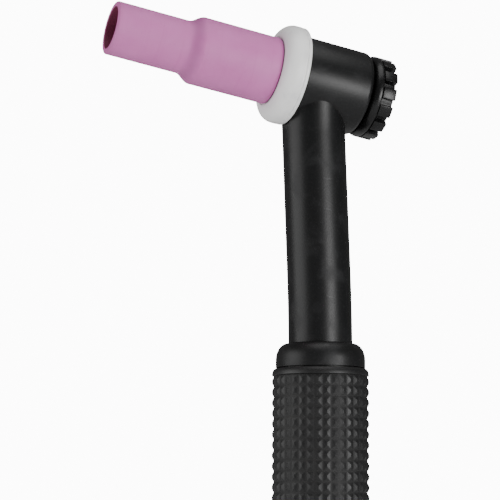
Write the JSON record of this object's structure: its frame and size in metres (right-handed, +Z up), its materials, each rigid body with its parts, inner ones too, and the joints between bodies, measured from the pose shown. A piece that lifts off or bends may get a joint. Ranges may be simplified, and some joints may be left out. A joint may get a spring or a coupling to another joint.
{
  "type": "tig torch",
  "caption": "Gas-cooled TIG welding torch: textured straight handle, slim neck, angled head with a stepped ceramic nozzle, insulating ring and short toothed back cap.",
  "frame": {"origin": "on the handle's axis at its rear end, where the power cable enters", "axes": "+Z up the handle towards the head; -X towards the side that the nozzle points to; +Y to the torch's other side, across the head's axis"},
  "size_m": [0.0836, 0.0282, 0.2212],
  "materials": {
    "handle_plastic": "black moulded plastic, satin",
    "grip_rubber": "black rubber with small raised pyramids",
    "head_plastic": "black moulded insulation, satin",
    "cap_plastic": "black moulded plastic, semi-gloss",
    "seal_rubber": "black",
    "brass": "turned",
    "copper": null,
    "tungsten": null,
    "alumina": "fired pink alumina, matte",
    "ptfe": "white PTFE, smooth"
  },
  "bodies": {
    "handle": {"handle_core": "handle_plastic", "handle_grip": "grip_rubber"},
    "torch_body": {"head_cover": "head_plastic", "head_body": "brass", "neck_tube": "copper", "cable_adapter": "brass", "collet_body": "copper"},
    "gasket": {"cup_gasket": "ptfe"},
    "nozzle": {"gas_nozzle": "alumina"},
    "cap_seal": {"back_cap_oring": "seal_rubber"},
    "back_cap": {"back_cap_knob": "cap_plastic", "back_cap_insert": "brass"},
    "collet": {"collet": "copper"},
    "electrode": {"tungsten_electrode": "tungsten"}
  },
  "joints": [
    {"name": "handle_slide", "type": "slide", "parent": "handle", "child": "torch_body", "axis": [0, 0, 1], "range_m": [0, 0.034]},
    {"name": "nozzle_travel", "type": "slide", "parent": "torch_body", "child": "gasket", "axis": [-0.9859, 0, 0.1676], "range_m": [0, 0.0091]},
    {"name": "nozzle_turn", "type": "hinge", "parent": "gasket", "child": "nozzle", "pos_m": [-0.00268, 0, 0.20385], "axis": [-0.9859, 0, 0.1676], "range_deg": [0, 2160]},
    {"name": "cap_travel", "type": "slide", "parent": "torch_body", "child": "cap_seal", "axis": [0.9859, 0, -0.1676], "range_m": [0, 0.0063]},
    {"name": "cap_turn", "type": "hinge", "parent": "cap_seal", "child": "back_cap", "pos_m": [-0.00268, 0, 0.20385], "axis": [0.9859, 0, -0.1676], "range_deg": [0, 1800]},
    {"name": "collet_slide", "type": "slide", "parent": "torch_body", "child": "collet", "axis": [0.9859, 0, -0.1676], "range_m": [0, 0.0063]},
    {"name": "electrode_slide", "type": "slide", "parent": "collet", "child": "electrode", "axis": [-0.9859, 0, 0.1676], "range_m": [0, 0.014]}
  ],
  "couplings": [
    {"joint": "nozzle_travel", "follows": "nozzle_turn", "m_per_rad": 0.00023873},
    {"joint": "cap_travel", "follows": "cap_turn", "m_per_rad": 0.00019894},
    {"joint": "collet_slide", "follows": "cap_turn", "m_per_rad": 0.00019894}
  ]
}
